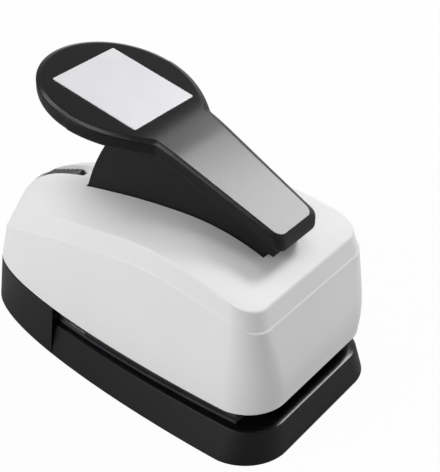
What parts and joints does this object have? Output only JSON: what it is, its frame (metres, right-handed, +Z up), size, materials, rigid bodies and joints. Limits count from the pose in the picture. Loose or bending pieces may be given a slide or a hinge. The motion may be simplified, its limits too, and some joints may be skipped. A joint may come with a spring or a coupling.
{
  "type": "square paper punch",
  "caption": "Hand lever punch with a round thumb pad that presses a square cutter through card held in a slot above a wide black base, under a white cover.",
  "frame": {"origin": "on the floor, under the middle of the base's length and width", "axes": "+X to the front, where card goes in, +Y to the punch's left as seen from its rear, +Z up"},
  "size_m": [0.1482, 0.0804, 0.1104],
  "materials": {
    "white_plastic": "satin moulded",
    "black_plastic": "satin moulded",
    "label_foil": "satin silver foil",
    "dark_casting": "die cast, black coated",
    "dark_steel": "blackened steel",
    "ground_steel": "ground",
    "bright_steel": "zinc plated"
  },
  "bodies": {
    "frame": {"base_tray": "black_plastic", "die_plate": "dark_steel", "throat_spacer": "bright_steel", "guide_plate": "dark_casting", "frame_bolts": "bright_steel", "base_screws": "bright_steel", "top_cover": "white_plastic", "cover_screws": "bright_steel", "pivot_pin": "ground_steel", "pivot_clips": "dark_steel", "return_spring_1": "ground_steel", "return_spring_2": "ground_steel", "return_spring_3": "ground_steel", "return_spring_4": "ground_steel"},
    "lever": {"lever_body": "black_plastic", "lever_top": "black_plastic", "shape_label": "label_foil", "lever_screws": "bright_steel", "roller_pin": "ground_steel"},
    "roller": {"press_roller": "ground_steel"},
    "punch": {"punch_block": "ground_steel", "punch_carrier": "dark_steel", "carrier_screws": "bright_steel"},
    "lock": {"lock_button": "black_plastic", "lock_tongue": "dark_steel", "lock_screw": "bright_steel"}
  },
  "joints": [
    {"name": "lever_hinge", "type": "hinge", "parent": "frame", "child": "lever", "pos_m": [0.0469, 0, 0.046], "axis": [0, -1, 0], "range_deg": [0, 15], "stiffness_Nm_per_rad": 1.76, "springref_deg": -26.01},
    {"name": "punch_slide", "type": "slide", "parent": "frame", "child": "punch", "axis": [0, 0, -1], "range_m": [0, 0.0063], "deforming": ["return_spring_1", "return_spring_2", "return_spring_3", "return_spring_4"]},
    {"name": "roller_spin", "type": "hinge", "parent": "lever", "child": "roller", "pos_m": [0.02311, 0, 0.04913], "axis": [0, 1, 0], "continuous": true},
    {"name": "lock_slide", "type": "slide", "parent": "frame", "child": "lock", "axis": [0.9563, 0, 0.2924], "range_m": [0, 0.0058]}
  ],
  "couplings": [
    {"joint": "punch_slide", "follows": "lever_hinge", "m_per_rad": 0.023932}
  ]
}
